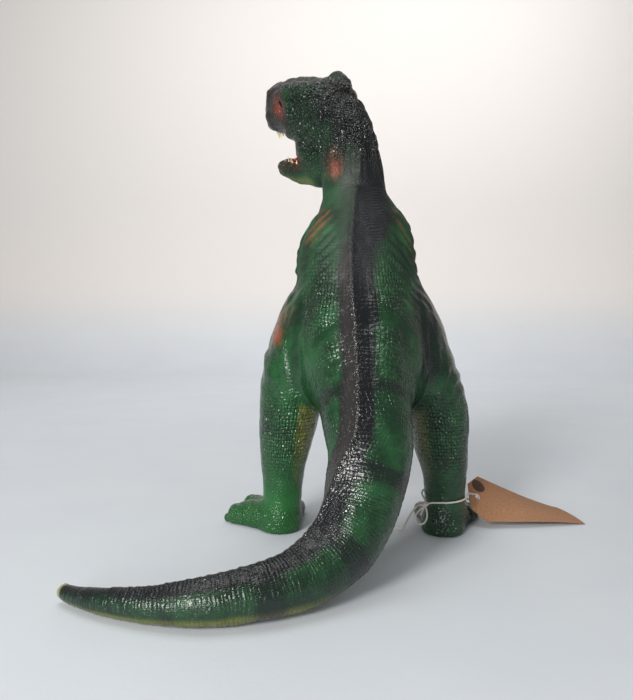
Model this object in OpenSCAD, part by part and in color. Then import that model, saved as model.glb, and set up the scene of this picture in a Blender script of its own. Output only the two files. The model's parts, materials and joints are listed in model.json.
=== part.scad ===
// Stuffed vinyl dinosaur: a thin moulded skin packed with fibre, with a plug-in head
// and a card hang tag tied to the right ankle. It stands on its feet and its tail lies on the floor.
// The dinosaur faces +Y, its right side is +X, and the floor is z = 0.

/* [Skin and filling] */
// Thickness of the moulded skin
skin_wall = 2.5; // [2:0.1:3]
// Gap between the filling and the inside of the skin
filling_gap = 0.6; // [0.4:0.1:1.2]

/* [Neck joint] */
// Height of the seam between body and head
seam_z = 310; // [309:0.5:311]
// Outer radius of the neck at the seam
neck_r = 28.3; // [27.5:0.1:29]
// Running gap at the seam and around the stem
seam_gap = 0.3; // [0.2:0.05:0.5]
// Radius of the hole in the neck's socket ring
socket_bore_r = 15; // [12:0.5:17]
// Thickness of the socket ring
socket_t = 6; // [4:0.5:8]

/* [Head pose] */
// Turn of the head to its left from straight ahead
head_turn = 48; // [40:1:55]
// Sideways tilt of the head, left side down
head_tilt = 18; // [10:1:24]
// Lift of the snout
head_lift = 4; // [0:1:8]

/* [Hang tag] */
// Length of the card
tag_l = 108; // [100:1:112]
// Width of the card
tag_w = 54; // [48:1:58]
// Thickness of the card
tag_t = 0.6; // [0.4:0.1:1]
// Clipped length of the two corners at the hole end
tag_clip = 14; // [8:1:16]
// Radius of the string hole
tag_hole_r = 2.6; // [2.4:0.1:3]
// Distance of the hole from the clipped end
tag_hole_set = 9; // [8:0.5:12]
// Twist of the card's hole end
tag_twist = 45; // [30:1:50]
// How far the card's middle bows up from its long edges
tag_curl = 1.2; // [0.4:0.2:3]
// Radius of the plain round sticker
sticker_r = 7; // [5:0.5:8]

/* [String] */
// Diameter of the cotton string
string_d = 1.6; // [1.2:0.1:2]

/* [Hidden] */

skin_green = [0.14, 0.36, 0.19];
filling_white = [0.93, 0.92, 0.88];
body_sides = 24;
limb_sides = 20;
filling_sides = 14;
ball_sides = 14;
ball_min_r = 0.8;

// The model is drawn about the body's middle plane and heel line, and moved so that the
// middle of its outline on the floor is the origin.
origin_shift = [5.4, 44.7, 0];

// The neck joint: its centre, the radius of what fits inside the neck, and how far the socket
// ring sits below the seam.
seam_at = [-8, 18, seam_z];
disc_r = neck_r - skin_wall - 0.8;
socket_drop = 2;
// Gap between an arm and the torso's skin.
limb_gap = 0.2;

// Stations along each limb: [x, y, z, half width, half depth].
torso_stations = [
    [0, -2, 99, 14, 18], [0, -3, 104, 26, 32], [0, -4, 114, 38, 46], [-1, -5, 134, 52, 60], [-2, 0, 160, 59, 67],
    [-3, 6, 187, 59, 67], [-4, 11, 212, 56, 62], [-5, 15, 237, 53, 57], [-4.5, 17, 259, 50, 51],
    [-3, 18, 278, 44, 44], [-3, 18, 289, 36.5, 37], [-5.5, 18, 300, 30.8, 31],
    [-8, 18, seam_z, neck_r, neck_r]];
tail_stations = [
    [-2, -22, 168, 44, 44], [-2, -52, 144, 40, 40], [-2, -75, 121, 37, 37], [0, -93, 97, 33.5, 33],
    [-4, -107, 76, 31.5, 31], [-11, -121, 54, 28.5, 28.5], [-25, -136, 34.5, 26, 26],
    [-47, -156, 22.5, 22.5, 22.3], [-72, -174, 19, 19, 18.8], [-97, -183, 17, 17.6, 17],
    [-123, -187, 15, 15.2, 14.8], [-154, -183, 12, 12.2, 11.8], [-188, -170, 9.8, 9.6, 9.4],
    [-207, -159, 8.5, 7.2, 7], [-219, -149, 8, 4.6, 4.4]];
left_leg_stations = [
    [-34, 20, 232, 12, 18], [-40, 21, 222, 19, 30], [-45, 22, 209, 26, 40], [-49, 22, 187, 30, 46],
    [-54, 22, 162, 34, 47], [-60, 21, 137, 32, 43], [-66, 19, 108, 27.5, 35], [-69.5, 17, 77, 23.5, 27],
    [-72, 16, 57, 20, 22], [-73, 16, 38, 18, 19], [-74, 16, 20, 18, 19], [-75, 16, 0, 19, 20]];
right_leg_stations = [
    [31, 19, 232, 12, 18], [35, 19, 222, 18, 30], [39, 19, 209, 24, 40], [44, 18, 187, 29, 46],
    [50, 17, 162, 31, 47], [59, 16, 137, 31, 43], [68, 14, 108, 28, 35], [71.5, 10, 77, 24.5, 27],
    [74.5, 8, 57, 20.5, 22], [75, 8, 38, 18.5, 19], [75, 8, 20, 18.5, 19], [74, 8, 0, 19, 20]];
neck_stations = [
    [-8, 18, seam_z + seam_gap, neck_r, neck_r], [-10.5, 19, 331, 27.2, 27.5], [-14, 21, 353, 26, 27],
    [-18, 25, 372, 24, 26], [-21, 28, 386, 20, 22]];

// Ball chains: [x, y, z, radius]. Feet are in the model's frame, the head's in the head frame.
left_foot_chains = [
    [[-75, 16, 12, 17], [-82, 38, 10, 15]],
    [[-75, 15, 10, 18], [-105, 32, 8, 12], [-117, 35, 7, 9.5], [-125, 37, 4, 4]],
    [[-80, 34, 10, 14], [-96, 58, 8, 11], [-105, 74, 7, 9], [-111, 85, 4, 3.5]],
    [[-72, 26, 10, 14], [-64, 48, 8, 10.5], [-60, 64, 6, 8], [-58, 75, 4, 3.5]]];
right_foot_chains = [
    [[74, 8, 12, 17], [80, 30, 10, 15]],
    [[74, 6, 10, 18], [96, 34.5, 7, 10.5], [106, 45, 7, 9], [113, 53, 4, 4]],
    [[79, 26, 10, 14], [92, 52, 8, 11], [99, 69, 7, 9], [104, 80, 4, 3.5]],
    [[70, 20, 10, 14], [64, 42, 8, 10], [61, 57, 6, 7.5], [59, 67, 4, 3.5]]];
left_arm_chains = [
    [[-40, 38, 262, 16], [-50, 58, 240, 12], [-46, 84, 230, 8.5], [-41, 95, 233, 7.5]],
    [[-41, 95, 233, 6], [-40, 106, 236, 4], [-39, 111, 232, 1.8]],
    [[-41, 95, 233, 6], [-47, 105, 231, 4], [-48, 109, 227, 1.8]]];
head_at = [-36, 39, 391];
skull_chains = [
    [[8, -8, -1, 20], [7, 18, 0, 19], [5, 38, -1, 17], [3, 51, -2, 15]],
    [[-8, -8, -1, 20], [-7, 18, 0, 19], [-5, 38, -1, 17], [-3, 51, -2, 15]],
    [[24, -8, 13, 8], [25, 5, 16, 9], [16, 30, 12, 7]],
    [[-20, 0, 12, 8], [-21, 18, 15, 8.5], [-14, 36, 11, 7]],
    [[12, -2, -20, 17], [11, 28, -16, 14]],
    [[-12, -2, -20, 17], [-11, 28, -16, 14]],
    [[13, 0, -20, 17], [13, 10, -40, 15], [10, 6, -58, 14]],
    [[-13, 0, -20, 17], [-13, 10, -40, 15], [-10, 6, -58, 14]],
    [[10, 6, -58, 14], [8, 32, -58, 10], [2, 52, -53, 8.5]],
    [[-10, 6, -58, 14], [-8, 32, -58, 10], [-2, 52, -53, 8.5]]];
head_hollow = [[[0, -8, -2, 20], [0, 18, 0, 19], [0, 38, -1, 16]],
    [[0, -6, -8, 19], [0, -4, -40, 17]]];
tooth_count = 9;
knot_at = [56, -8, 29.5];
knot_r = 2.8;

// The string: a short end and the knot, round the back of the ankle, down through the card's
// hole and back over its face, round the front of the ankle to the knot, a small bow, and a
// free end that falls to the floor.
string_route = [
    [50.5, -11, 21], [53.5, -9.5, 26], [56, -4.5, 31], [54.6, 3, 34.5], [55, 11, 35.5],
    [58.5, 19.5, 36], [65, 26, 36], [74, 29, 35], [84, 31, 31.5], [92.5, 34.5, 27],
    [100, 37.8, 22.8], [104, 39, 21], [107.5, 39.3, 20.5], [110.4, 38.6, 21], [112.4, 37.2, 22.8],
    [112.6, 35.4, 25], [110.5, 33.2, 27], [106, 30, 28.5], [101, 23, 31], [97.5, 14, 33],
    [95.3, 4, 34], [90.7, -5.4, 33.5], [83.6, -11, 33], [75, -13, 32.5], [66.4, -11.2, 32],
    [59.5, -7.5, 30.5], [53, -10.5, 27.5], [47.8, -12.5, 23.5], [46, -13, 18.5],
    [48.3, -13.8, 14.2], [52.6, -14, 13.8], [55.6, -13.4, 17.5], [56.5, -11.5, 23],
    [54.5, -9.8, 28.5], [49.5, -9.8, 29.5], [45, -9.8, 25.5], [41.5, -8.5, 19], [38.5, -4, 11],
    [37, 3, 4.2], [34, 12, 1], [28, 21, 0.9], [19, 28, 0.9], [9, 32, 0.9]];

function unit(v) = v / norm(v);
// Catmull-Rom blend of four values.
function blend4(a, b, c, d, t) = b + 0.5 * t * ((c - a)
    + t * ((2 * a - 5 * b + 4 * c - d) + t * (3 * (b - c) + d - a)));
// Stations with parts - 1 more blended in between each pair.
function smoothed(list, parts) = let(n = len(list) - 1) [
    for (i = [0 : n - 1], k = [0 : parts - 1])
        blend4(list[max(i - 1, 0)], list[i], list[i + 1], list[min(i + 2, n)], k / parts),
    list[n]];
function centre(s) = [s[0], s[1], s[2]];
// Direction of a path of stations at place i.
function heading(list, i) = unit(
    centre(list[min(i + 1, len(list) - 1)]) - centre(list[max(i - 1, 0)]));
function level_ring(s, grow, sides) = [
    for (k = [0 : sides - 1]) let(a = 360 * k / sides)
        [s[0] + (s[3] + grow) * cos(a), s[1] + (s[4] + grow) * sin(a), s[2]]];
function square_ring(s, dir, grow, sides) = let(
    across = unit([dir[1], -dir[0], 0]), over = cross(across, dir)) [
    for (k = [0 : sides - 1]) let(a = -360 * k / sides)
        centre(s) + (s[3] + grow) * cos(a) * across + (s[4] + grow) * sin(a) * over];
function level_rings(list, grow, sides) = [for (s = list) level_ring(s, grow, sides)];
function square_rings(list, grow, sides) = [
    for (i = [0 : len(list) - 1]) square_ring(list[i], heading(list, i), grow, sides)];

// Solid between two rings of points.
module ring_segment(a, b) {
    n = len(a);
    hull()
        polyhedron(points = concat(a, b),
            faces = concat([[for (k = [0 : n - 1]) k]], [[for (k = [0 : n - 1]) 2 * n - 1 - k]]));
}

// Solid through a row of rings.
module loft(rings) {
    for (i = [0 : len(rings) - 2])
        ring_segment(rings[i], rings[i + 1]);
}

// Closed tube of rings with flat ends, as one mesh.
module tube(rings) {
    n = len(rings[0]);
    m = len(rings);
    polyhedron(points = [for (r = rings) each r],
        faces = concat(
            [[for (k = [0 : n - 1]) k]],
            [[for (k = [0 : n - 1]) m * n - 1 - k]],
            [for (i = [0 : m - 2], k = [0 : n - 1]) let(j = (k + 1) % n) each [
                [i * n + k, (i + 1) * n + k, (i + 1) * n + j],
                [i * n + k, (i + 1) * n + j, i * n + j]]]));
}

// Balls of the given radii joined in a row.
module ball_chain(balls, grow) {
    for (i = [0 : len(balls) - 2])
        hull() {
            for (b = [balls[i], balls[i + 1]])
                translate(centre(b)) sphere(r = max(b[3] + grow, ball_min_r), $fn = ball_sides);
        }
}

// What lies above height z.
module above_floor(z) {
    intersection() {
        children();
        translate([-300, -300, z]) cube([600, 600, 600]);
    }
}

module torso_form(grow, sides = body_sides) {
    above_floor(torso_stations[0][2] - min(grow, 0))
        loft(level_rings(smoothed(torso_stations, 2), grow, sides));
}

// The tail without its last few stations: its hollow and its filling stop short of the tip.
module tail_form(grow, short = 0, sides = limb_sides) {
    stations = [for (i = [0 : len(tail_stations) - 1 - short]) tail_stations[i]];
    above_floor(max(-grow, 0))
        tube(square_rings(smoothed(stations, 2), grow, sides));
}

module leg_form(stations, grow, sides = limb_sides) {
    loft(level_rings(smoothed(stations, 2), grow, sides));
}

module foot_form(chains, grow) {
    for (c = chains)
        ball_chain(c, grow);
}

// A leg and its foot, cut flat at the sole.
module leg_and_foot(stations, chains, grow) {
    above_floor(max(-grow, 0)) {
        leg_form(stations, grow);
        foot_form(chains, grow);
    }
}

// Skin of one leg, open where it joins the torso.
module leg_skin(stations, chains) {
    difference() {
        leg_and_foot(stations, chains, 0);
        leg_and_foot(stations, [chains[0]], -skin_wall);
        torso_form(0);
        tail_form(0);
    }
}

module leg_filling(stations, chains) {
    difference() {
        leg_and_foot(stations, [chains[0]], -skin_wall - filling_gap);
        torso_form(filling_gap);
        tail_form(filling_gap);
    }
}

module head_frame() {
    translate(head_at)
        rotate([0, 0, head_turn])
            rotate([head_lift, 0, 0])
                rotate([0, -head_tilt, 0])
                    children();
}

module neck_form(grow) {
    loft(level_rings(smoothed(neck_stations, 2), grow, body_sides));
}

module torso_skin() {
    color(skin_green)
        translate(origin_shift)
            difference() {
                torso_form(0);
                translate([0, 0, 0.01]) torso_form(-skin_wall);
                leg_form(left_leg_stations, -skin_wall);
                leg_form(right_leg_stations, -skin_wall);
                tail_form(-skin_wall);
            }
}

module tail_skin() {
    color(skin_green)
        translate(origin_shift)
            difference() {
                tail_form(0);
                tail_form(-skin_wall, 1);
                torso_form(0);
            }
}

module left_leg_skin() {
    color(skin_green)
        translate(origin_shift)
            leg_skin(left_leg_stations, left_foot_chains);
}

module right_leg_skin() {
    color(skin_green)
        translate(origin_shift)
            leg_skin(right_leg_stations, right_foot_chains);
}

module arm_form() {
    for (c = left_arm_chains)
        ball_chain(c, 0);
}

module left_arm() {
    color(skin_green)
        translate(origin_shift)
            difference() {
                arm_form();
                torso_form(limb_gap);
            }
}

// The right arm mirrors the left about the chest's middle plane.
module right_arm() {
    chest_x = -4.5;
    color(skin_green)
        translate(origin_shift)
            difference() {
                translate([2 * chest_x, 0, 0])
                    mirror([1, 0, 0])
                        arm_form();
                torso_form(limb_gap);
            }
}

// Ring glued inside the neck opening, which the head's plug snaps through.
module neck_socket() {
    color("dimgray")
        translate(origin_shift + seam_at - [0, 0, socket_drop + socket_t])
            rotate_extrude($fn = 64)
                translate([socket_bore_r, 0])
                    square([disc_r - socket_bore_r, socket_t]);
}

// Mushroom plug that closes the head's neck and holds it in the socket.
module neck_plug() {
    stem_r = socket_bore_r - seam_gap;
    lip_z = -socket_drop - socket_t - 6;
    color("dimgray")
        translate(origin_shift + seam_at)
            rotate_extrude($fn = 64)
                polygon([
                    [0, lip_z], [socket_bore_r + 1, lip_z], [socket_bore_r + 2, lip_z + 2],
                    [socket_bore_r + 2, lip_z + 5], [stem_r, lip_z + 5], [stem_r, seam_gap],
                    [disc_r, seam_gap], [disc_r, 3.3], [0, 3.3]]);
}

module torso_filling() {
    top = seam_z - socket_drop - socket_t - 8;
    color(filling_white)
        translate(origin_shift)
            difference() {
                torso_form(-skin_wall - filling_gap, filling_sides);
                translate([-100, -100, top]) cube([200, 200, 100]);
            }
}

module tail_filling() {
    color(filling_white)
        translate(origin_shift)
            difference() {
                tail_form(-skin_wall - filling_gap, 2, filling_sides);
                torso_form(filling_gap);
            }
}

module left_leg_filling() {
    color(filling_white)
        translate(origin_shift)
            leg_filling(left_leg_stations, left_foot_chains);
}

module right_leg_filling() {
    color(filling_white)
        translate(origin_shift)
            leg_filling(right_leg_stations, right_foot_chains);
}

module head_skin() {
    color(skin_green)
        translate(origin_shift)
            difference() {
                union() {
                    neck_form(0);
                    head_frame()
                        for (c = skull_chains)
                            ball_chain(c, 0);
                }
                translate([0, 0, -0.01]) neck_form(-skin_wall);
                head_frame()
                    for (c = head_hollow)
                        ball_chain(c, -skin_wall);
                translate([-100, -100, seam_z + seam_gap - 50]) cube([200, 200, 50]);
            }
}

module head_filling() {
    color(filling_white)
        translate(origin_shift)
            difference() {
                union() {
                    neck_form(-skin_wall - filling_gap);
                    head_frame()
                        for (c = head_hollow)
                            ball_chain(c, -skin_wall - filling_gap);
                }
                translate([-100, -100, seam_z + 4 - 50]) cube([200, 200, 50]);
            }
}

// Teeth in a half-oval row, pointing up or down from height z.
module tooth_row(half_w, length, back_y, z, tip) {
    for (i = [0 : tooth_count - 1]) {
        a = 180 * i / (tooth_count - 1);
        translate([half_w * cos(a), back_y + length * sin(a), z])
            cylinder(h = 7, r1 = tip > 0 ? 1.4 : 0.4, r2 = tip > 0 ? 0.4 : 1.4, center = true, $fn = 16);
    }
}

module upper_teeth() {
    color("ivory")
        translate(origin_shift)
            head_frame()
                tooth_row(13, 28, 32, -19, -1);
}

module lower_teeth() {
    color("ivory")
        translate(origin_shift)
            head_frame()
                tooth_row(7, 26, 28, -44, 1);
}

module tongue() {
    color([0.55, 0.12, 0.14])
        translate(origin_shift)
            head_frame()
                hull() {
                    translate([0, 20, -42]) sphere(r = 6, $fn = 20);
                    translate([0, 38, -43]) sphere(r = 4.5, $fn = 20);
                }
}

module eye(side) {
    color("gold")
        translate(origin_shift)
            head_frame()
                translate([side * 20, 28, 5]) sphere(r = 5, $fn = 32);
}

module left_eye() {
    eye(-1);
}

module right_eye() {
    eye(1);
}

// The card: its middle line falls from the hole end to the floor, and its hole end is twisted.
tag_start = [103, 35, 25.5];
tag_end = [206.5, 54, 0.4];
tag_dir = unit(tag_end - tag_start);
tag_side = unit([-tag_dir[1], tag_dir[0], 0]);
tag_up = cross(tag_dir, tag_side);
function tag_turn(u) = tag_twist * pow(1 - u / tag_l, 1.5);
function tag_across(u) = cos(tag_turn(u)) * tag_side + sin(tag_turn(u)) * tag_up;
function tag_normal(u) = cross(tag_dir, tag_across(u));
function tag_bow(u, v) = tag_curl * (0.15 + 0.85 * u / tag_l) * (1 - pow(2 * v / tag_w, 2));
function tag_point(u, v, w) = tag_start + u * tag_dir + v * tag_across(u) + (w + tag_bow(u, v)) * tag_normal(u);
function tag_half_w(u) = min(tag_w / 2, tag_w / 2 - tag_clip + u);
tag_strips = 6;
// Section of a layer of the card at u, from v = a to v = b and from height w0 to w1.
function tag_section(u, a, b, w0, w1) = concat(
    [for (k = [0 : tag_strips]) tag_point(u, a + (b - a) * k / tag_strips, w0)],
    [for (k = [tag_strips : -1 : 0]) tag_point(u, a + (b - a) * k / tag_strips, w1)]);
function tag_ring(u) = tag_section(u, -tag_half_w(u), tag_half_w(u), -tag_t / 2, tag_t / 2);
tag_steps = concat(
    [for (k = [0 : 3]) tag_clip * k / 4], [for (u = [tag_clip : 4 : tag_l - 3]) u], [tag_l]);

// Places a flat shape on the card at distance u from its hole end and v from its middle line.
module on_tag(u, v) {
    x = tag_dir;
    y = tag_across(u);
    z = tag_normal(u);
    p = tag_point(u, v, 0);
    multmatrix([
        [x[0], y[0], z[0], p[0]], [x[1], y[1], z[1], p[1]],
        [x[2], y[2], z[2], p[2]], [0, 0, 0, 1]])
        children();
}

module tag_card() {
    color([0.62, 0.42, 0.28])
        translate(origin_shift)
            difference() {
                tube([for (u = tag_steps) tag_ring(u)]);
                on_tag(tag_hole_set, 0)
                    cylinder(h = 6, r = tag_hole_r, center = true, $fn = 32);
            }
}

// The sticker follows the card's twist.
sticker_u = 12;
sticker_v = 14;
sticker_t = 0.35;
sticker_gap = 0.15;
function sticker_ring(u, h) = tag_section(u, sticker_v - h, sticker_v + h,
    tag_t / 2 + sticker_gap, tag_t / 2 + sticker_gap + sticker_t);

module tag_sticker() {
    color([0.3, 0.2, 0.16])
        translate(origin_shift)
            tube([for (a = [160 : -20 : 20])
                sticker_ring(sticker_u + sticker_r * cos(a), sticker_r * sin(a))]);
}

module tag_string() {
    path = string_route;
    r = string_d / 2;
    // A direction that the string never runs along, so that its rings keep turning smoothly.
    reference = [0.31, 0.23, 0.92];
    color("ivory")
        translate(origin_shift)
            tube([for (i = [0 : len(path) - 1]) let(
                d = heading(path, i),
                a = unit(cross(d, reference)),
                b = cross(d, a)) [
                for (k = [0 : 7]) path[i] + r * (cos(45 * k) * a + sin(45 * k) * b)]]);
}

module string_knot() {
    color("ivory")
        translate(origin_shift + knot_at)
            sphere(r = knot_r, $fn = 24);
}

torso_skin();
tail_skin();
left_leg_skin();
right_leg_skin();
left_arm();
right_arm();
neck_socket();
torso_filling();
tail_filling();
left_leg_filling();
right_leg_filling();
head_skin();
neck_plug();
head_filling();
upper_teeth();
lower_teeth();
tongue();
left_eye();
right_eye();
tag_card();
tag_sticker();
tag_string();
string_knot();
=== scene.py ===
"""Stuffed vinyl dinosaur: one moulded body skin, a plug-in head, and a card tag tied on with string.

Shapes are worked out in millimetres in the design's own coordinates, the ones that part.scad draws in, and
are moved into the frame, in metres, when a mesh is made.
"""
import json
import math

import bpy
import bmesh
import numpy as np
from mathutils import Matrix, Vector, geometry


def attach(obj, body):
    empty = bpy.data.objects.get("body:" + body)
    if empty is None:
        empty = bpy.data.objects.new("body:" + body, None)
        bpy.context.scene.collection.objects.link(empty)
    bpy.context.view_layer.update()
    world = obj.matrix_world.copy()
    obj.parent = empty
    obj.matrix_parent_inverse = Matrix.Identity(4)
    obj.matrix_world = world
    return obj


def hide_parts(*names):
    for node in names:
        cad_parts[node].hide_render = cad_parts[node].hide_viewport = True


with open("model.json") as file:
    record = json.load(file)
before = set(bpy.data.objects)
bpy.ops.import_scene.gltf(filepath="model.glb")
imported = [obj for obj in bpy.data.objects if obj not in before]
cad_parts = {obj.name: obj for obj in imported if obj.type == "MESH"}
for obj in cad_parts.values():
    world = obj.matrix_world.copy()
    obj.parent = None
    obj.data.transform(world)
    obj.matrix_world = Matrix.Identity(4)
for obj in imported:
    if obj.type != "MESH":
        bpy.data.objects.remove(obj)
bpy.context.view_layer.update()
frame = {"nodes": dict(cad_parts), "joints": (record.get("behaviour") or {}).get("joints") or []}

scene = bpy.context.scene
joints = {j["name"]: j for j in frame["joints"]}

# ---------------------------------------------------------------- frame and camera
SEAM_CENTRE = np.array([-8.0, 18.0, 310.0])  # the neck joint in design millimetres
SHIFT = np.array(joints["head_swivel"]["pos_m"]) * 1000 - SEAM_CENTRE


def to_frame(points):
    """Design millimetres to frame metres."""
    return (np.asarray(points, float) + SHIFT) / 1000


CAMERA_AT = (-41.5, -663.0, 220.0)
CAMERA_PITCH = 4.574  # degrees down
CAMERA_LENS = 38.571  # on a sensor 36 mm wide

camera = bpy.data.objects.new("camera", bpy.data.cameras.new("camera"))
scene.collection.objects.link(camera)
camera.location = to_frame(CAMERA_AT)
camera.rotation_euler = (math.radians(90 - CAMERA_PITCH), 0, 0)
camera.data.sensor_width = 36
camera.data.lens = CAMERA_LENS
camera.data.clip_start = 0.01
camera.data.clip_end = 20
scene.camera = camera


# ---------------------------------------------------------------- meshes
def make_mesh(name, points, faces, smooth=True, metres=False):
    """A new object of the scene, from design millimetres or, with metres, from frame metres."""
    mesh = bpy.data.meshes.new(name)
    points = np.asarray(points, float) if metres else to_frame(points)
    faces = faces.tolist() if isinstance(faces, np.ndarray) else faces
    mesh.from_pydata(points.tolist(), [], faces)
    mesh.update()
    mesh.polygons.foreach_set("use_smooth", [smooth] * len(mesh.polygons))
    obj = bpy.data.objects.new(name, mesh)
    scene.collection.objects.link(obj)
    return obj


def points_of(obj):
    """A mesh's points in design millimetres."""
    co = np.zeros(len(obj.data.vertices) * 3)
    obj.data.vertices.foreach_get("co", co)
    return co.reshape(-1, 3) * 1000 - SHIFT


def set_points(obj, points):
    obj.data.vertices.foreach_set("co", to_frame(points).ravel())
    obj.data.update()


def normals_of(obj):
    no = np.zeros(len(obj.data.vertices) * 3)
    obj.data.vertex_normals.foreach_get("vector", no)
    return no.reshape(-1, 3)


def subdivide(obj):
    """One level of subdivision, applied to the mesh."""
    modifier = obj.modifiers.new("subdivide", "SUBSURF")
    modifier.levels = 1
    evaluated = obj.evaluated_get(bpy.context.evaluated_depsgraph_get())
    mesh = bpy.data.meshes.new_from_object(evaluated)
    obj.modifiers.clear()
    obj.data = mesh


def face_outwards(obj):
    bm = bmesh.new()
    bm.from_mesh(obj.data)
    bmesh.ops.recalc_face_normals(bm, faces=bm.faces[:])
    bm.to_mesh(obj.data)
    bm.free()


def colour_attribute(obj, name, red, green, blue):
    layer = obj.data.attributes.new(name, "FLOAT_COLOR", "POINT")
    layer.data.foreach_set("color", np.stack([red, green, blue, np.ones_like(red)], 1).ravel())


def vector_attribute(obj, name, values):
    layer = obj.data.attributes.new(name, "FLOAT_VECTOR", "POINT")
    layer.data.foreach_set("vector", np.ascontiguousarray(values, dtype=float).ravel())


def fit_piece(piece, body_name, slot, *nodes):
    """Makes a piece ride on a body and stand for its CAD nodes, which it hides; slot is not used."""
    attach(piece, body_name)
    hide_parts(*nodes)


# ---------------------------------------------------------------- numbers and curves
def step(low, high, x):
    """0 below low and 1 above high, with a soft turn; low may be above high."""
    t = np.clip((x - low) / (high - low), 0, 1)
    return t * t * (3 - 2 * t)


def hump(x, centre, width):
    """1 at centre, and falling to 0 over about twice width."""
    return np.exp(-(((x - centre) / width) ** 2))


def unit(v):
    return v / (np.linalg.norm(v, axis=-1, keepdims=True) + 1e-12)


def hashed(i, j, k, seed):
    """A value from -1 to 1 that looks random, for each whole-number place."""
    n = (i * 374761393 + j * 668265263 + k * 2147483647 + seed * 974634777) & 0xFFFFFFFF
    n = ((n ^ (n >> 13)) * 1274126177) & 0xFFFFFFFF
    return ((n ^ (n >> 16)) & 0xFFFF) / 32767.5 - 1


def lumps(p, size, seed):
    """Smooth values from -1 to 1, with a lump about every size millimetres."""
    q = np.asarray(p) / size
    cell = np.floor(q).astype(np.int64)
    f = q - cell
    f = f * f * (3 - 2 * f)
    total = 0
    for a in (0, 1):
        for b in (0, 1):
            for c in (0, 1):
                weight = np.abs(1 - a - f[:, 0]) * np.abs(1 - b - f[:, 1]) * np.abs(1 - c - f[:, 2])
                total = total + weight * hashed(cell[:, 0] + a, cell[:, 1] + b, cell[:, 2] + c, seed)
    return total


def catmull(points, parts):
    """A smooth curve through rows, with parts - 1 more rows between each pair."""
    rows = np.asarray(points, float)
    padded = np.vstack([rows[:1], rows, rows[-1:]])
    curve = []
    for i in range(len(rows) - 1):
        a, b, c, d = padded[i:i + 4]
        for t in np.arange(parts) / parts:
            cubic = 2 * a - 5 * b + 4 * c - d + t * (3 * (b - c) + d - a)
            curve.append(b + 0.5 * t * ((c - a) + t * cubic))
    return np.array(curve + [rows[-1]])


def run_along(path):
    """Distance along a path at each of its points."""
    return np.concatenate([[0], np.cumsum(np.linalg.norm(np.diff(path, axis=0), axis=1))])


def tube_faces(rings, sides, start=0):
    """Faces of a tube whose rings of points follow each other from index start, with both ends closed."""
    k = np.arange(sides)
    rows = start + np.arange(rings - 1)[:, None] * sides
    quads = np.stack([rows + k, rows + (k + 1) % sides, rows + sides + (k + 1) % sides, rows + sides + k], -1)
    ends = [(start + k[::-1]).tolist(), (start + (rings - 1) * sides + k).tolist()]
    return quads.reshape(-1, 4).tolist() + ends


def sweep(path, radius, sides, lobes=0, depth=0.0, turn=0.0):
    """Points and faces of a tube along a path; its section's lobes twist by turn radians a millimetre."""
    tangent = unit(np.gradient(path, axis=0))
    side = np.zeros_like(path)
    side[0] = unit(np.cross(tangent[0], [0.31, 0.23, 0.92]))
    for i in range(1, len(path)):
        side[i] = unit(side[i - 1] - tangent[i] * np.dot(side[i - 1], tangent[i]))
    up = np.cross(tangent, side)
    angle = np.arange(sides) * 2 * np.pi / sides
    lobe = depth * np.cos(lobes * (angle[None, :] + turn * run_along(path)[:, None]))
    across = np.cos(angle)[None, :, None] * side[:, None] + np.sin(angle)[None, :, None] * up[:, None]
    points = path[:, None] + (radius * (1 + lobe))[..., None] * across
    return points.reshape(-1, 3), tube_faces(len(path), sides)


# ---------------------------------------------------------------- node materials
class Nodes:
    """A material's nodes, wired by number or by socket."""

    def __init__(self, name, **sockets):
        self.material = bpy.data.materials.new(name)
        self.material.use_nodes = True
        self.tree = self.material.node_tree
        self.shader = self.tree.nodes["Principled BSDF"]
        for socket, value in sockets.items():
            self.shader.inputs[socket.replace("_", " ")].default_value = value
        self.place = self.add("TexCoord", out=3)

    def put(self, socket, value):
        if isinstance(value, bpy.types.NodeSocket):
            self.tree.links.new(value, socket)
        elif value is not None:
            socket.default_value = value

    def add(self, kind, out=0, inputs=None, **settings):
        node = self.tree.nodes.new("ShaderNode" + kind)
        for key, value in settings.items():
            setattr(node, key, value)
        for key, value in (inputs or {}).items():
            self.put(node.inputs[key], value)
        return node.outputs[out]

    def math(self, operation, a, b=0.0, c=0.0, clamp=False):
        return self.add("Math", inputs={0: a, 1: b, 2: c}, operation=operation, use_clamp=clamp)

    def span(self, value, low, high, new_low=0.0, new_high=1.0):
        return self.add("MapRange", inputs={0: value, 1: low, 2: high, 3: new_low, 4: new_high},
                        interpolation_type="SMOOTHSTEP")

    def mix(self, factor, a, b):
        a, b = (x if isinstance(x, bpy.types.NodeSocket) else (*x, 1) for x in (a, b))
        return self.add("Mix", out=2, inputs={0: factor, 6: a, 7: b}, data_type="RGBA")

    def noise(self, scale, detail=3.0, rough=0.55, vector=None):
        settings = {"Vector": vector or self.place, "Scale": scale, "Detail": detail, "Roughness": rough}
        return self.add("TexNoise", inputs=settings)

    def cell_map(self, vector, scale, randomness, **settings):
        """Distance from the nearest cell's middle or, with feature, from the nearest edge."""
        cells = {"Vector": vector, "Scale": scale, "Randomness": randomness}
        return self.add("TexVoronoi", inputs=cells, **settings)

    def split(self, name):
        colour = self.add("Attribute", attribute_name=name)
        return [self.add("SeparateColor", out=i, inputs={0: colour}) for i in range(3)]

    def bump(self, height, distance, strength=1.0, normal=None):
        return self.add("Bump", inputs={"Height": height, "Distance": distance, "Strength": strength,
                                        "Normal": normal})

    def finish(self, colour=None, rough=None, normal=None):
        self.put(self.shader.inputs["Base Color"], colour)
        self.put(self.shader.inputs["Roughness"], rough)
        self.put(self.shader.inputs["Normal"], normal)
        return self.material


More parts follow.
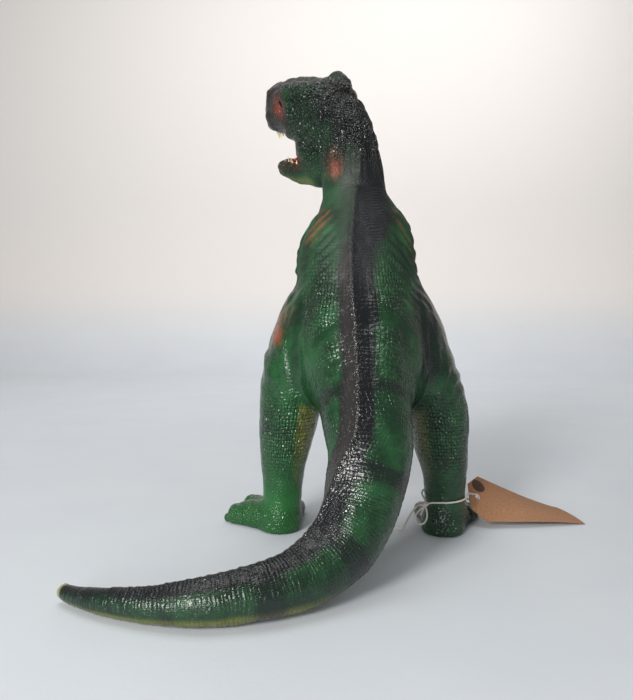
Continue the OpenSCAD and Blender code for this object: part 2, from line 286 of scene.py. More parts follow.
def mottled(name, dark, light, patch, grain, depth, strength, rough, **sockets):
    """A material of two tones that mix in soft patches; patch and grain are settings of a noise."""
    m = Nodes(name, **sockets)
    colour = m.mix(m.noise(*patch), dark, light)
    return m.finish(colour, rough, m.bump(m.noise(*grain), depth, strength))


GREEN_DEEP, GREEN, GREEN_BRIGHT = (0.006, 0.032, 0.012), (0.014, 0.080, 0.025), (0.014, 0.125, 0.024)
# The second colour on the next line is painted shade for the grooves between scales and pebbles.
BELLY, GROOVE_SHADE = (0.170, 0.190, 0.035), (0.002, 0.005, 0.003)
CHARCOAL, GREY_BROWN = (0.005, 0.006, 0.008), (0.025, 0.023, 0.023)
RED, MOUTH = (0.300, 0.064, 0.030), (0.200, 0.016, 0.020)
# The tail tip's pale end, and painted shade standing in for the small open hole in its middle.
TIP_PALE, TIP_HOLE_SHADE = (0.26, 0.27, 0.10), (0.01, 0.012, 0.008)
CELL_SIZE = (2.6, 3.2, 3.0)  # millimetres across, along and out
PEBBLES_PER_METRE = 400.0
RELIEF_DEPTH = 0.0009


def vinyl_material():
    """Airbrushed glossy vinyl, driven by what each point of the mesh holds.

    paint is stripe, belly and red; shade is dark bands with painted shade at the hips, on the right flank and
    behind the brows, brightness with a painted highlight on the brows, and mouth with painted shade in the
    folds at the mouth's corners; extra is grey with a painted highlight along the crest, the tail's tip with
    painted shade for its hole, and mattness; relief is how strongly cells, rings and pebbles stand out; cells
    is the millimetres that the scales are laid out in.
    """
    m = Nodes("vinyl", Specular_IOR_Level=0.5)
    stripe, belly, red = m.split("paint")
    bands_and_shade, bright, mouth = m.split("shade")
    cells, rings, pebbles = m.split("relief")
    grey, tip, matt = m.split("extra")
    coarse = m.noise(38, 4)
    fine = m.noise(330, 3, 0.6)
    speck = m.math("SUBTRACT", fine, 0.5)

    def times(a, b):
        return m.math("MULTIPLY", a, b)

    def speckle_edge(mask, low, high, amount=0.5):
        """A mask with an airbrushed, speckled edge."""
        return m.span(m.math("MULTIPLY_ADD", speck, amount, mask), low, high)

    along = m.add("Attribute", out=1, attribute_name="cells")
    jitter = m.add("TexNoise", out=1, inputs={"Vector": m.place, "Scale": 140.0, "Detail": 2.0})
    jitter = m.add("VectorMath", inputs={0: jitter, "Scale": 1.1}, operation="SCALE")
    warp = m.add("VectorMath", inputs={0: along, 1: jitter}, operation="ADD")
    per_cell = tuple(1 / size for size in CELL_SIZE)
    grid = m.add("VectorMath", inputs={0: warp, 1: per_cell}, operation="MULTIPLY")
    edge = m.cell_map(grid, 1.0, 0.24, feature="DISTANCE_TO_EDGE")
    middle = m.cell_map(grid, 1.0, 0.24)
    dome = times(m.math("SUBTRACT", 1.0, times(middle, middle)), 1.1)
    scale = m.math("ADD", times(m.span(edge, 0.01, 0.12), 0.5), dome)
    part = m.add("SeparateXYZ", out=1, inputs={0: warp})
    wave = m.math("SINE", m.math("MULTIPLY_ADD", m.noise(75, 4), 11.0, times(part, 2.5)))
    ring = times(m.math("MULTIPLY_ADD", wave, 0.5, 0.5), m.span(m.noise(110, 2), 0.3, 0.65))
    pebble = m.span(m.cell_map(m.place, PEBBLES_PER_METRE, 0.9, feature="DISTANCE_TO_EDGE"), 0.0, 0.42)

    colour = m.mix(m.span(coarse, 0.35, 0.68), GREEN_DEEP, GREEN)
    # Brighter green, with a painted highlight on the brows.
    colour = m.mix(times(bright, m.span(coarse, 0.2, 0.6, 0.6, 1.0)), colour, GREEN_BRIGHT)
    colour = m.mix(speckle_edge(belly, 0.15, 0.85, 0.35), colour, BELLY)
    # Dark bands, with painted shade at the hips, on the right flank and behind the brows.
    colour = m.mix(times(speckle_edge(bands_and_shade, 0.2, 0.9), 0.8), colour, CHARCOAL)
    colour = m.mix(m.span(stripe, 0.1, 0.9), colour, CHARCOAL)
    # Grey-brown paint, and a painted highlight along the crest.
    colour = m.mix(m.span(grey, 0.1, 1.0), colour, GREY_BROWN)
    colour = m.mix(times(speckle_edge(red, 0.1, 1.15, 0.6), 0.9), colour, RED)
    # The mouth's red, also laid in as painted shade in the folds at the mouth's corners.
    colour = m.mix(m.span(mouth, 0.25, 0.6), colour, MOUTH)
    colour = m.mix(m.span(tip, 0.1, 0.5), colour, TIP_PALE)
    # The hole in the tail's tip is painted shade.
    colour = m.mix(m.span(tip, 0.65, 0.9), colour, TIP_HOLE_SHADE)
    # Darker grooves between the scales and between the pebbles are painted shade.
    groove_shade = m.math("ADD", times(m.math("SUBTRACT", 1.0, scale), cells),
                   times(m.math("SUBTRACT", 1.0, pebble), pebbles), clamp=True)
    colour = m.mix(times(groove_shade, 0.75), colour, GROOVE_SHADE)

    height = times(scale, cells)
    height = m.math("MULTIPLY_ADD", ring, rings, height)
    height = m.math("MULTIPLY_ADD", pebble, pebbles, height)
    height = m.math("MULTIPLY_ADD", fine, 0.10, height)
    smear = m.math("MULTIPLY_ADD", fine, 0.4, times(coarse, 0.6))
    rough = m.math("MULTIPLY_ADD", matt, 0.42, m.span(smear, 0.3, 0.7, 0.13, 0.28))
    return m.finish(colour, rough, m.bump(height, RELIEF_DEPTH))


# ---------------------------------------------------------------- the string, first of all the pieces
STRING_D = 1.6
STRING_ROUTE = np.array([
    [50.5, -11, 21], [53.5, -9.5, 26], [56, -4.5, 31], [54.6, 3, 34.5], [55, 11, 35.5],
    [58.5, 19.5, 36], [65, 26, 36], [74, 29, 35], [84, 31, 31.5], [92.5, 34.5, 27],
    [100, 37.8, 22.8], [104, 39, 21], [107.5, 39.3, 20.5], [110.4, 38.6, 21], [112.4, 37.2, 22.8],
    [112.6, 35.4, 25], [110.5, 33.2, 27], [106, 30, 28.5], [101, 23, 31], [97.5, 14, 33],
    [95.3, 4, 34], [90.7, -5.4, 33.5], [83.6, -11, 33], [75, -13, 32.5], [66.4, -11.2, 32],
    [59.5, -7.5, 30.5], [53, -10.5, 27.5], [47.8, -12.5, 23.5], [46, -13, 18.5],
    [48.3, -13.8, 14.2], [52.6, -14, 13.8], [55.6, -13.4, 17.5], [56.5, -11.5, 23],
    [54.5, -9.8, 28.5], [49.5, -9.8, 29.5], [45, -9.8, 25.5], [41.5, -8.5, 19], [38.5, -4, 11],
    [37, 3, 4.2], [34, 12, 1], [28, 21, 0.9], [19, 28, 0.9], [9, 32, 0.9]])
KNOT_AT = np.array([56, -8, 29.5])


LAY = {"sides": 12, "lobes": 3, "turn": 1.1}  # how the cotton's three strands twist
cotton = mottled("cotton_string", (0.52, 0.48, 0.40), (0.80, 0.77, 0.70), (260, 2), (2200, 3, 0.7),
                 0.0002, 0.8, 0.85, Specular_IOR_Level=0.2, Sheen_Weight=0.3)
route = catmull(STRING_ROUTE, 14)
string_piece = make_mesh("string", *sweep(route, STRING_D / 2 * 0.94, depth=0.16, **LAY))
knot_angle = np.linspace(0, 4.4 * math.pi, 60)
knot_path = KNOT_AT + np.stack([1.5 * np.cos(knot_angle) * (1 + 0.15 * np.cos(1.5 * knot_angle)),
                                1.6 * np.sin(knot_angle),
                                1.1 * np.sin(knot_angle * 0.5 + 0.4)], 1)
knot_piece = make_mesh("string_knot_twist", *sweep(knot_path, STRING_D / 2 * 0.95, depth=0.14, **LAY))
for piece, node in ((string_piece, "tag_string"), (knot_piece, "string_knot")):
    piece.data.materials.append(cotton)
    fit_piece(piece, "body", "string", node)
to_frame(STRING_ROUTE[0])
to_frame(route[::3])


# ---------------------------------------------------------------- body
# Each station is [x, y, z, half width, half depth].
TORSO = np.array([
    [0, -2, 99, 14, 18], [0, -3, 104, 26, 32], [0, -4, 114, 38, 46], [-1, -5, 134, 52, 60],
    [-2, 0, 160, 59, 67], [-3, 6, 187, 59, 67], [-4, 11, 212, 56, 62], [-5, 15, 237, 53, 57],
    [-4.5, 17, 259, 50, 51], [-3, 18, 278, 44, 44], [-3, 18, 289, 36.5, 37], [-5.5, 18, 300, 30.8, 31],
    [-8, 18, 310, 28.3, 28.3], [-10.5, 19, 331, 27.2, 27.5]])
TAIL = np.array([
    [-2, -22, 168, 44, 44], [-2, -52, 144, 40, 40], [-2, -75, 121, 37, 37], [0, -93, 97, 33.5, 33],
    [-4, -107, 76, 31.5, 31], [-11, -121, 54, 28.5, 28.5], [-25, -136, 34.5, 26, 26],
    [-47, -156, 22.5, 22.5, 22.3], [-72, -174, 19, 19, 18.8], [-97, -183, 17, 17.6, 17],
    [-123, -187, 15, 15.2, 14.8], [-154, -183, 12, 12.2, 11.8], [-188, -170, 9.8, 9.6, 9.4],
    [-207, -159, 8.5, 7.6, 7.4], [-221, -148, 8, 6.2, 6]])
LEFT_LEG = np.array([
    [-34, 20, 232, 12, 18], [-40, 21, 222, 19, 30], [-45, 22, 209, 26, 40], [-49, 22, 187, 30, 46],
    [-54, 22, 162, 34, 47], [-60, 21, 137, 32, 43], [-66, 19, 108, 27.5, 35], [-69.5, 17, 77, 23.5, 27],
    [-72, 16, 57, 20, 22], [-73, 16, 38, 18, 19], [-74, 16, 20, 18, 19], [-75, 16, 0, 19, 20]])
RIGHT_LEG = np.array([
    [31, 19, 232, 12, 18], [35, 19, 222, 18, 30], [39, 19, 209, 24, 40], [44, 18, 187, 29, 46],
    [50, 17, 162, 31, 47], [59, 16, 137, 31, 43], [68, 14, 108, 28, 35], [71.5, 10, 77, 24.5, 27],
    [74.5, 8, 57, 20.5, 22], [75, 8, 38, 18.5, 19], [75, 8, 20, 18.5, 19], [74, 8, 0, 19, 20]])
NECK = np.array([
    [-8, 18, 300, 28.3, 28.3], [-8, 18, 310.3, 28.3, 28.3], [-10.5, 19, 331, 27.2, 27.5],
    [-14, 21, 353, 26, 27], [-18, 25, 372, 24, 26], [-21, 28, 386, 20, 22], [-23, 30, 394, 10, 12]])
LEFT_FOOT = [
    [[-75, 16, 12, 17], [-82, 38, 10, 15]],
    [[-75, 15, 11, 18], [-103, 31, 9, 13.5], [-116, 35, 7.5, 10.5], [-125, 37, 4, 4.5]],
    [[-80, 34, 10, 14], [-96, 58, 8, 11], [-105, 74, 7, 9], [-111, 85, 4, 3.5]],
    [[-72, 26, 10, 14], [-64, 48, 8, 10.5], [-60, 64, 6, 8], [-58, 75, 4, 3.5]]]
RIGHT_FOOT = [
    [[74, 8, 12, 17], [80, 30, 10, 15]],
    [[74, 6, 10, 18], [96, 34.5, 7, 10.5], [106, 45, 7, 9], [113, 53, 4, 4]],
    [[79, 26, 10, 14], [92, 52, 8, 11], [99, 69, 7, 9], [104, 80, 4, 3.5]],
    [[70, 20, 10, 14], [64, 42, 8, 10], [61, 57, 6, 7.5], [59, 67, 4, 3.5]]]
LEFT_ARM = [
    [[-40, 38, 262, 16], [-50, 58, 240, 12], [-46, 84, 230, 8.5], [-41, 95, 233, 7.5]],
    [[-41, 95, 233, 6], [-40, 106, 236, 4], [-39, 111, 232, 1.8]],
    [[-41, 95, 233, 6], [-47, 105, 231, 4], [-48, 109, 227, 1.8]]]
CHEST_X = -4.5  # the arms mirror about this plane
RIGHT_ARM = [[[2 * CHEST_X - ball[0], *ball[1:]] for ball in chain] for chain in LEFT_ARM]

FAR = 60.0  # the distance given to points that a shape is nowhere near


def smooth_min(a, b, k):
    """The smaller of a and b, blended where they are within k of each other."""
    h = np.clip(k - np.abs(a - b), 0, None) / k
    return np.minimum(a, b) - h * h * k / 4


def smooth_max(a, b, k):
    return -smooth_min(-a, -b, k)


def ellipse(x, y, rx, ry):
    """Distance to an ellipse, true near its edge."""
    k0 = np.hypot(x / rx, y / ry) + 1e-6
    k1 = np.hypot(x / rx ** 2, y / ry ** 2) + 1e-9
    return k0 * (k0 - 1) / k1


def nearest_row(p, line, batch=20000):
    """Index of the line's nearest point to each of the points."""
    best = np.zeros(len(p), int)
    for a in range(0, len(p), batch):
        best[a:a + batch] = ((line ** 2).sum(1)[None] - 2 * p[a:a + batch] @ line.T).argmin(1)
    return best


class Shape:
    """A distance field with the box it matters in and the width of its blend into what is already there."""
    cut = False  # whether the shape is taken away

    def __init__(self, low, high, blend):
        self.low, self.high, self.blend = np.array(low, float), np.array(high, float), blend

    def near(self, p):
        margin = self.blend + 8
        return np.all((p > self.low - margin) & (p < self.high + margin), axis=1)


class Level(Shape):
    """Ellipses stacked up z."""

    def __init__(self, stations, blend):
        s = catmull(stations, 8)
        s = s[np.argsort(s[:, 2])]
        reach = s[:, [3, 4, 4]] * [1, 1, 0]
        super().__init__((s[:, :3] - reach).min(0), (s[:, :3] + reach).max(0), blend)
        self.s = s

    def around(self, p):
        """Offset from the middle, and the two radii, at each point's height."""
        cx, cy, rx, ry = (np.interp(p[:, 2], self.s[:, 2], self.s[:, k]) for k in (0, 1, 3, 4))
        return p[:, 0] - cx, p[:, 1] - cy, rx, ry

    def field(self, p):
        ends = np.maximum(self.low[2] - p[:, 2], p[:, 2] - self.high[2])
        return smooth_max(ellipse(*self.around(p)), ends, 4)


class Swept(Shape):
    """Ellipses square to a path."""
    parts = 14  # rows from one station to the next

    def __init__(self, stations, blend):
        s = catmull(stations, self.parts)
        self.centre, self.rx, self.ry = s[:, :3], s[:, 3], s[:, 4]
        self.dir = unit(np.gradient(self.centre, axis=0))
        self.left = unit(np.stack([self.dir[:, 1], -self.dir[:, 0], 0 * self.dir[:, 0]], 1))
        self.up = np.cross(self.left, self.dir)
        self.run = run_along(self.centre)
        reach = np.maximum(self.rx, self.ry)[:, None]
        super().__init__((self.centre - reach).min(0), (self.centre + reach).max(0), blend)

    def local(self, p):
        """Left, up, run along the path, the two radii, and how far past an end each point is."""
        best = nearest_row(p, self.centre)
        last = len(self.run) - 1
        gap = np.gradient(self.run)[best]
        t = best + np.clip(((p - self.centre[best]) * self.dir[best]).sum(1) / gap, -1, 1)
        t = np.clip(t, 0, last)
        i = np.minimum(t.astype(int), last - 1)
        f = t - i

        def at(table):
            part = f[:, None] if table.ndim == 2 else f
            return table[i] * (1 - part) + table[i + 1] * part

        off = p - at(self.centre)
        before = -(off * self.dir[0]).sum(1) * (best == 0)
        after = (off * self.dir[-1]).sum(1) * (best == last)
        left, up = ((off * at(axis)).sum(1) for axis in (self.left, self.up))
        return left, up, at(self.run), at(self.rx), at(self.ry), np.maximum(before, after)

    def field(self, p):
        x, y, _, rx, ry, past = self.local(p)
        return smooth_max(ellipse(x, y, rx, ry), past - 0.5, 2.5)


class Chain(Shape):
    """Balls [x, y, z, radius] joined in a row."""

    def __init__(self, balls, blend, cut=False):
        self.balls = np.array(balls, float)
        self.cut = cut
        r = self.balls[:, 3:]
        super().__init__((self.balls[:, :3] - r).min(0), (self.balls[:, :3] + r).max(0), blend)

    def field(self, p):
        d = np.full(len(p), FAR)
        rows = self.balls if len(self.balls) > 1 else np.vstack([self.balls, self.balls + [0, 0, 1e-3, 0]])
        for a, b in zip(rows, rows[1:]):
            ab = b[:3] - a[:3]
            off = p - a[:3]
            t = np.clip((off @ ab) / (ab @ ab), 0, 1)
            d = np.minimum(d, np.linalg.norm(off - t[:, None] * ab, axis=1) - a[3] - t * (b[3] - a[3]))
        return d


def combined(shapes, p):
    """The distance to all the shapes, each blended into, or cut from, the ones before it."""
    total = np.full(len(p), FAR)
    for shape in shapes:
        near = shape.near(p)
        if near.any():
            d = shape.field(p[near])
            join, d = (smooth_max, -d) if shape.cut else (smooth_min, d)
            total[near] = join(total[near], d, shape.blend)
    return total


def surface(field, low, high, size):
    """Surface nets: points and quads of field = 0 in a box, with one point to each grid cell it crosses."""
    axes = [np.arange(a, b + size, size) for a, b in zip(low, high)]
    grid = np.stack(np.meshgrid(*axes, indexing="ij"), -1)
    shape = grid.shape[:3]
    value = np.concatenate([field(q) for q in np.array_split(grid.reshape(-1, 3), 8)]).reshape(shape)
    n = [s - 1 for s in shape]

    def block(corner):
        """Every cell's value at one of its corners."""
        i, j, k = corner
        return value[i:i + n[0], j:j + n[1], k:k + n[2]]

    total, count = np.zeros((*n, 3)), np.zeros(n)
    for corner in np.ndindex(2, 2, 2):
        for axis in range(3):
            if corner[axis]:
                continue
            va = block(corner)
            vb = block(tuple(c + (k == axis) for k, c in enumerate(corner)))
            crosses = (va < 0) != (vb < 0)
            t = np.where(crosses, va / np.where(crosses, va - vb, 1), 0)
            total += (np.array(corner, float) + np.eye(3)[axis] * t[..., None]) * crosses[..., None]
            count += crosses
    used = count > 0
    index = -np.ones(n, int)
    index[used] = np.arange(used.sum())
    points = np.array(low) + size * (np.argwhere(used) + total[used] / count[used][:, None])
    quads = []
    for axis in range(3):
        va = value.take(range(shape[axis] - 1), axis)
        vb = value.take(range(1, shape[axis]), axis)
        where = np.argwhere((va < 0) != (vb < 0))
        u, v = [k for k in range(3) if k != axis]
        where = where[(where[:, u] > 0) & (where[:, v] > 0) & (where[:, u] < n[u]) & (where[:, v] < n[v])]
        rows = []
        for du, dv in ((1, 1), (0, 1), (0, 0), (1, 0)):
            cell = where.copy()
            cell[:, u] -= du
            cell[:, v] -= dv
            rows.append(index[tuple(cell.T)])
        rows = np.stack(rows, 1)
        inside = va[tuple(where.T)] < 0
        backwards = inside if axis == 1 else ~inside
        rows[backwards] = rows[backwards][:, ::-1]
        quads.append(rows)
    return points, np.concatenate(quads)


def slope(field, p, h=0.25):
    """The field's value and its slope along each axis."""
    value = field(p)
    return value, np.stack([(field(p + h * e) - value) / h for e in np.eye(3)], 1)


def project(field, p, rounds=2):
    """Points moved onto the surface, where the field is 0."""
    for _ in range(rounds):
        value, g = slope(field, p)
        size = (g * g).sum(1)
        p = p - np.clip(value / np.maximum(size, 0.15), -2, 2)[:, None] * g
    return p


def wave(run, pitch, shift=0.0):
    return np.sin(run * 2 * np.pi / pitch + shift)


CUP_R = 25.8  # radius of the hollow in each side of the neck joint
BODY_CUP_FLOOR, HEAD_CUP_FLOOR = 295.3, 313.6
SEAM_GAP = 0.08


def cut_flat(obj, z, keep_below, floor_z):
    """Cuts obj level at design height z, and closes it with a round cup whose floor is at floor_z."""
    bm = bmesh.new()
    bm.from_mesh(obj.data)
    height = (z + SHIFT[2]) / 1000
    bmesh.ops.bisect_plane(bm, geom=bm.verts[:] + bm.edges[:] + bm.faces[:], plane_co=(0, 0, height),
                           plane_no=(0, 0, 1), clear_outer=keep_below, clear_inner=not keep_below, dist=1e-6)
    rim = [e for e in bm.edges if e.is_boundary]
    for e in rim:
        e.smooth = False
    centre = to_frame(SEAM_CENTRE)

    def ring_inside(edges, level):
        made = bmesh.ops.extrude_edge_only(bm, edges=edges)["geom"]
        for v in (g for g in made if isinstance(g, bmesh.types.BMVert)):
            out = Vector((v.co.x - centre[0], v.co.y - centre[1], 0)).normalized()
            v.co = Vector((centre[0], centre[1], 0)) + out * CUP_R / 1000
            v.co.z = (level + SHIFT[2]) / 1000
        return [g for g in made if isinstance(g, bmesh.types.BMEdge) and g.is_boundary]

    bmesh.ops.contextual_create(bm, geom=ring_inside(ring_inside(rim, z), floor_z))
    bmesh.ops.recalc_face_normals(bm, faces=bm.faces[:])
    bm.to_mesh(obj.data)
    bm.free()
    obj.data.update()


torso, tail = Level(TORSO, 12), Swept(TAIL, 22)
left_leg, right_leg = Level(LEFT_LEG, 12), Level(RIGHT_LEG, 12)
arms = [Chain(c, 10 if i == 0 else 2.5) for side in (LEFT_ARM, RIGHT_ARM) for i, c in enumerate(side)]
feet = [Chain(c, 6 if i == 0 else 4) for side in (LEFT_FOOT, RIGHT_FOOT) for i, c in enumerate(side)]
BODY_SHAPES = [torso, left_leg, right_leg, tail, *arms, *feet]
BODY_BOX = ((-236, -214, -4), (136, 122, 326))
BODY_GRID = 3.35  # millimetres; a finer grid makes more than 200,000 triangles


def body_field(p):
    return smooth_max(combined(BODY_SHAPES, p), -p[:, 2], 1.5)


body = make_mesh("body_skin", *surface(body_field, *BODY_BOX, BODY_GRID))
subdivide(body)
p = project(body_field, points_of(body))

# The spine ridge: seeds down the back and along the tail, dropped onto the surface.
SPINE = [  # x and y of the middle, depth from there to the back, z
    (-4.5, 19, 27.5, 331), (-6.2, 18, 28, 312), (-8.2, 18, 30, 300), (-10.4, 18, 43, 280), (-12, 17, 50, 260),
    (-12.5, 15, 56, 237), (-11.5, 11, 61, 212), (-10, 7, 66, 192)]
RIDGE_TURN = {2: 15, 3: 20, 4: 22, 5: 23, 6: 18, 7: 12, 8: 6, 9: 2}  # degrees left of the top, by station
seeds = [[x, y - depth, z] for x, y, depth, z in SPINE]
for i in range(2, len(TAIL)):
    turn = math.radians(RIDGE_TURN.get(i, 0))
    k = min(i * tail.parts, len(tail.run) - 1)
    seeds.append(tail.centre[k] + tail.ry[k] * (math.cos(turn) * tail.up[k] + math.sin(turn) * tail.left[k]))
ridge = project(body_field, catmull(seeds, 16), 4)
ridge_run = run_along(ridge)
_, ridge_out = slope(body_field, ridge)
ridge_right = unit(np.cross(unit(ridge_out), unit(np.gradient(ridge, axis=0))))

# Where each point is: its place along and across the ridge, and its distance from each limb.
near = nearest_row(p, ridge)
off = p - ridge[near]
across = np.sign((off * ridge_right[near]).sum(1)) * np.linalg.norm(off, axis=1)
down = ridge_run[near]
where = {"torso": torso.field(p), "tail": tail.field(p),
         "left": left_leg.field(p), "right": right_leg.field(p),
         "foot": np.min([c.field(p) for c in feet], 0), "arm": np.min([c.field(p) for c in arms], 0)}
gaps = np.stack(list(where.values()))
owner = np.array(list(where))[gaps.argmin(0)]
order = np.sort(gaps, 0)
clear = step(0.5, 7, order[1] - order[0])  # 0 where two limbs meet
leg_gap = np.minimum(where["left"], where["right"])
is_tail = owner == "tail"
set_points(body, p)
normal = normals_of(body)

# Relief that shows as shape: the spine ridge, folds at the hips and shoulders, belly bands and toe creases.
SCUTE, RING, SHOULDER_FOLD, THIGH_FOLD, BELLY_BAND, TOE_CREASE = 7, 4.6, 8.5, 8, 11, 9  # millimetres apart
x, y, z = p.T
tail_run = tail.local(p)[2]
side = np.abs(x + 4)
crest = step(0, 25, down) * step(ridge_run[-1] - 15, ridge_run[-1] - 120, down)
hip = hump(leg_gap - where["torso"], 0, 9) * step(130, 165, z)
lift = 2.4 * np.clip(1 - np.abs(across) / 12, 0, 1) ** 1.3 * crest
lift += 1.2 * np.exp(-(across / 2.2) ** 2) * crest * (1 + 0.25 * wave(down, SCUTE))
lift += -0.9 * hip
folds = lumps(p * [1, 1, 0.45] + 3 * lumps(p, 30, 4)[:, None], 7, 1)
lift += 0.45 * folds * (0.35 + hip + step(235, 260, z))
lift += 0.6 * lumps(p, 16, 2) + 0.3 * lumps(p, 5.5, 3)
lift += np.where(is_tail, 0.12 * wave(tail_run, RING, 5 * lumps(p, 14, 9)), 0)
shoulder = hump(z, 252, 34) * step(16, 32, side) * step(-4, 6, where["tail"])
slant = 0.62 * side + 0.78 * z + 0.35 * y
lift += 0.95 * shoulder * wave(slant, SHOULDER_FOLD, 2.2 * lumps(p, 20, 11))
thigh = hump(z, 165, 38) * step(40, 62, side)
bow = side * 0.9 + 0.012 * (z - 170) ** 2 * 0.35 - 0.2 * y
lift += 0.7 * thigh * wave(bow, THIGH_FOLD, 2.0 * lumps(p, 22, 12))
lift += 2.2 * hump(np.abs(across), 28, 12) * hump(z, 200, 46) * (y < 0)
chest = step(0.45, 0.85, normal[:, 1]) * step(0, 5, leg_gap) * step(4, 8, where["arm"])
lift += 0.5 * chest * (1 - 2 * np.clip(np.cos((z + 0.02 * side ** 2) * 2 * np.pi / BELLY_BAND), 0, 1) ** 4)
toe_run = np.hypot(x - np.where(x < 0, -75, 74), y - np.where(x < 0, 16, 8))
crease = np.clip(np.cos(toe_run * 2 * np.pi / TOE_CREASE), 0, 1) ** 3 * step(22, 30, toe_run)
lift += np.where((owner == "foot") & (z > 3), -0.8 * crease, 0)
lift *= step(0.2, 2.5, z) * step(310.5, 305, z)
p = p + normal * lift[:, None]
p[:, 2] = np.maximum(p[:, 2], 0)
set_points(body, p)

# Paint: the dark stripe and its grey left edge, the belly, red streaks, dark bands and brighter green;
# painted shade in the hip creases and on the right flank, and a painted highlight along the ridge's crest.
x, y, z = p.T
middle_x, middle_y = (np.interp(z, torso.s[:, 2], torso.s[:, k]) for k in (0, 1))
turn = np.arctan2(x - middle_x, middle_y - y)
tail_x, tail_y, tail_run, _, _, _ = tail.local(p)
tail_turn = np.arctan2(tail_x, tail_y)
on_tail = step(-6, 8, where["torso"] - where["tail"])
wander = 3.5 * lumps(p, 26, 13) + 1.6 * lumps(p, 9, 14)
# How far the stripe reaches to each side, by distance down it.
RIGHT_EDGE = [(0, 42), (25, 38), (60, 33), (90, 20), (200, 14), (300, 15), (360, 15), (420, 10), (520, 7),
              (620, 4.5)]
LEFT_EDGE = [(0, 6), (60, 8), (200, 13), (300, 17), (420, 24), (700, 14)]
wide_right = wander + np.interp(down, *zip(*RIGHT_EDGE))
wide_left = 0.5 * wander + np.interp(down, *zip(*LEFT_EDGE))
soft = 12 * step(130, 50, down)
is_left = across < 0
stripe = np.where(across > 0, step(wide_right + 7 + soft, wide_right - 6 - soft, across),
                  step(wide_left + 8, wide_left - 6, -across) * (0.45 + 0.55 * step(60, 110, down)))
above_bend = step(430, 330, down)
grey = np.where(is_left, step(wide_left + 8, wide_left - 8, -across), 0) * above_bend
grey = grey * (0.5 + 0.5 * step(60, 110, down))
# A lighter grey line along the ridge's crest is a painted highlight.
grey = np.maximum(grey, 0.8 * np.exp(-(across / 2.0) ** 2) * above_bend * step(90, 150, down))
grey = np.maximum(grey, 0.62 * step(36, 4, -across) * is_left * step(100, 30, down))
under = step(1.6, 2.4, np.abs(tail_turn)) * on_tail * step(150, 260, tail_run)
inner_left = step(0.05, 0.7, normal[:, 0]) * hump(z, 115, 62) * (x < 0) * (where["left"] < where["tail"])
inner_right = step(0.2, 0.8, -normal[:, 0]) * hump(z, 100, 55) * (x > 0) * (where["right"] < where["tail"])
front = step(0.3, 0.85, normal[:, 1]) * step(6, 2, where["torso"]) * step(1, 5, where["arm"])
belly = np.clip(under + inner_left + 0.6 * inner_right + front, 0, 1)


def streak(a, b, width):
    """A soft line of paint from a to b, each x and z, on the back."""
    a, b = np.array(a, float), np.array(b, float)
    t = np.clip(((p[:, [0, 2]] - a) @ (b - a)) / ((b - a) @ (b - a)), 0, 1)
    gone = np.linalg.norm(p[:, [0, 2]] - a - t[:, None] * (b - a), axis=1)
    return np.exp(-(gone / width) ** 2) * step(18, 4, y)


ragged = 0.85 + 0.25 * lumps(p, 5, 15)
on_fold = 0.62 + 0.45 * np.clip(wave(slant, SHOULDER_FOLD, 2.2 * lumps(p, 20, 11)), -0.5, 1)
on_bow = 0.72 + 0.4 * np.clip(wave(bow, THIGH_FOLD, 2.0 * lumps(p, 22, 12)), -0.6, 1)
shoulders = 0.85 * streak((-33, 286), (-48, 263), 6) + 0.5 * streak((27, 287), (44, 245), 6)
hips = 1.0 * streak((-69, 203), (-77, 178), 8) + 0.55 * streak((74, 200), (86, 150), 6)
red = (shoulders * on_fold + hips * on_bow) * ragged
tail_bands = np.clip(wave(tail_run, 62, 1.2), 0, 1) ** 3 * (1 - 0.85 * step(230, 320, tail_run))
inner_toe = step(34, 46, y) * step(72, 64, np.abs(x)) * step(44, 34, z)
# Dark airbrushing in the hip creases together with painted shade there, lighter on the left; and the tail's
# dark rings.
bands_and_shade = np.where(x < 0, 0.55, 0.9) * hip * step(260, 235, z) + on_tail * 0.8 * tail_bands
# Painted shade on the right flank and thigh.
bands_and_shade += 0.5 * step(28, 60, x) * step(230, 200, z) * step(105, 140, z) * (1 - on_tail)
bands_and_shade += 0.50 * on_tail * step(60, 200, tail_run) + 0.28 * is_left * step(90, 40, down)
bands_and_shade = np.clip(bands_and_shade + inner_toe, 0, 1)
bright = (0.7 * step(70, 20, z) + 0.35) * (x < -20) * (1 - on_tail) * step(190, 110, z)
tip = step(tail.run[-1] - 7, tail.run[-1] - 3, tail_run) * is_tail
# The tip's middle goes dark: painted shade for its small open hole.
tip = tip * (0.55 + 0.45 * step(2.6, 1.2, np.hypot(tail_x, tail_y)))
polish = 0.3 * np.exp(-(across / 2.5) ** 2) * step(110, 170, down) * step(440, 330, down)
calf = hump(z, 88, 30) * (leg_gap < 2) * (1 - on_tail)
matt = step(205, 245, z) + 0.08 * on_tail * step(60, 160, tail_run) - polish - 0.12 * calf
colour_attribute(body, "paint", stripe, belly, red)
colour_attribute(body, "shade", bands_and_shade, bright, 0 * bands_and_shade)
colour_attribute(body, "extra", grey, tip, matt)

